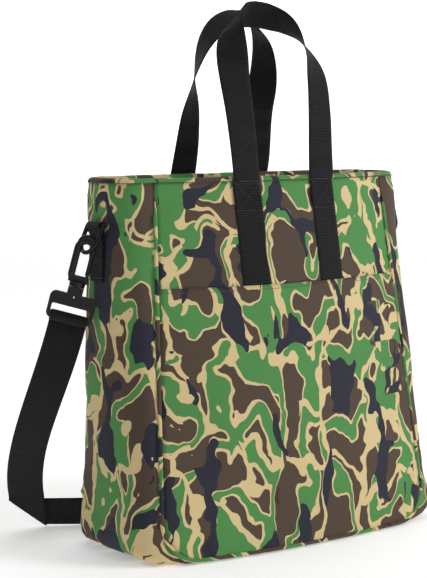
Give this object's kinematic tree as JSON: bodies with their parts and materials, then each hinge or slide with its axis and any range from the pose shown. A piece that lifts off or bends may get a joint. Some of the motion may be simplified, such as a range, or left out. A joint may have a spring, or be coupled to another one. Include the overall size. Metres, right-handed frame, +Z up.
{
  "type": "insulated cooler tote bag",
  "caption": "Soft insulated tote with bowed front panel and patch pocket, zip lid, two webbing carry handles, side rings and a clip-on shoulder strap.",
  "frame": {"origin": "centre of the flat base, on the floor", "axes": "-Y is the front with the patch pocket, -X is the side with the clipped hook, +Z is up"},
  "size_m": [0.4416, 0.2414, 0.5589],
  "materials": {
    "camo_fabric": "printed camouflage woven polyester",
    "black_webbing": "ribbed webbing",
    "foam": "closed-cell foam",
    "liner": "silver film",
    "board": "stiff board",
    "zip_black": "nylon coil and tape",
    "hardware": "moulded acetal",
    "ring_metal": "black coated wire"
  },
  "bodies": {
    "bag": {"front_panel": "camo_fabric", "front_pocket": "camo_fabric", "back_panel": "camo_fabric", "left_gusset": "camo_fabric", "right_gusset": "camo_fabric", "base_panel": "camo_fabric", "front_piping": "camo_fabric", "back_piping": "camo_fabric", "rim_facing": "camo_fabric", "foam_front": "foam", "foam_back": "foam", "foam_left": "foam", "foam_right": "foam", "foam_base": "foam", "liner": "liner", "base_board": "board", "lid_frame": "camo_fabric", "zip_ends": "zip_black", "front_handle_legs": "black_webbing", "rear_handle_legs": "black_webbing", "left_ring_tab": "black_webbing", "right_ring_tab": "black_webbing", "left_hook_base": "hardware", "right_hook_base": "hardware", "shoulder_strap": "black_webbing", "strap_loops": "black_webbing", "strap_adjuster": "hardware"},
    "front_flap": {"front_lid_flap": "camo_fabric", "front_zip_tape": "zip_black", "front_zip_coil": "zip_black"},
    "rear_flap": {"rear_lid_flap": "camo_fabric", "rear_zip_tape": "zip_black", "rear_zip_coil": "zip_black"},
    "slider": {"zip_slider": "ring_metal"},
    "puller": {"zip_pull": "hardware"},
    "front_handle": {"front_handle_loop": "black_webbing"},
    "rear_handle": {"rear_handle_loop": "black_webbing"},
    "ring_left": {"left_ring": "ring_metal"},
    "ring_right": {"right_ring": "ring_metal"},
    "hook_left": {"left_hook": "hardware"},
    "gate_left": {"left_gate": "hardware"},
    "hook_right": {"right_hook": "hardware"},
    "gate_right": {"right_gate": "hardware"}
  },
  "joints": [
    {"name": "front_flap_hinge", "type": "hinge", "parent": "bag", "child": "front_flap", "pos_m": [0, -0.0196, 0.346], "axis": [1, 0, 0], "range_deg": [0, 85]},
    {"name": "rear_flap_hinge", "type": "hinge", "parent": "bag", "child": "rear_flap", "pos_m": [0, 0.0556, 0.346], "axis": [-1, 0, 0], "range_deg": [0, 85]},
    {"name": "zip_slide", "type": "slide", "parent": "bag", "child": "slider", "axis": [-1, 0, 0], "range_m": [0, 0.248]},
    {"name": "puller_hinge", "type": "hinge", "parent": "slider", "child": "puller", "pos_m": [0.124, 0.018, 0.3521], "axis": [0, -1, 0], "range_deg": [0, 178]},
    {"name": "front_handle_hinge", "type": "hinge", "parent": "bag", "child": "front_handle", "pos_m": [0, -0.04297, 0.3803], "axis": [1, 0, 0], "range_deg": [-2, 140]},
    {"name": "rear_handle_hinge", "type": "hinge", "parent": "bag", "child": "rear_handle", "pos_m": [0, 0.074, 0.3803], "axis": [-1, 0, 0], "range_deg": [-2, 145]},
    {"name": "left_ring_hinge", "type": "hinge", "parent": "bag", "child": "ring_left", "pos_m": [-0.18854, 0.02, 0.334], "axis": [0, 1, 0], "range_deg": [0, 2]},
    {"name": "right_ring_hinge", "type": "hinge", "parent": "bag", "child": "ring_right", "pos_m": [0.18837, 0.02, 0.339], "axis": [0, -1, 0], "range_deg": [0, 150]},
    {"name": "left_hook_swivel", "type": "hinge", "parent": "bag", "child": "hook_left", "pos_m": [-0.20835, 0.02512, 0.27373], "axis": [0.2136, -0.1462, 0.9659], "range_deg": [-6, 6]},
    {"name": "left_gate_hinge", "type": "hinge", "parent": "hook_left", "child": "gate_left", "pos_m": [-0.20074, 0.01991, 0.27954], "axis": [-0.565, -0.8251, 0], "range_deg": [0, 18], "stiffness_Nm_per_rad": 0.02, "springref_deg": -14.32},
    {"name": "right_hook_swivel", "type": "hinge", "parent": "bag", "child": "hook_right", "pos_m": [0.121, 0.118, 0.025], "axis": [1, 0, 0], "continuous": true},
    {"name": "right_gate_hinge", "type": "hinge", "parent": "hook_right", "child": "gate_right", "pos_m": [0.129, 0.118, 0.0324], "axis": [0, 1, 0], "range_deg": [0, 18], "stiffness_Nm_per_rad": 0.02, "springref_deg": -14.32}
  ]
}
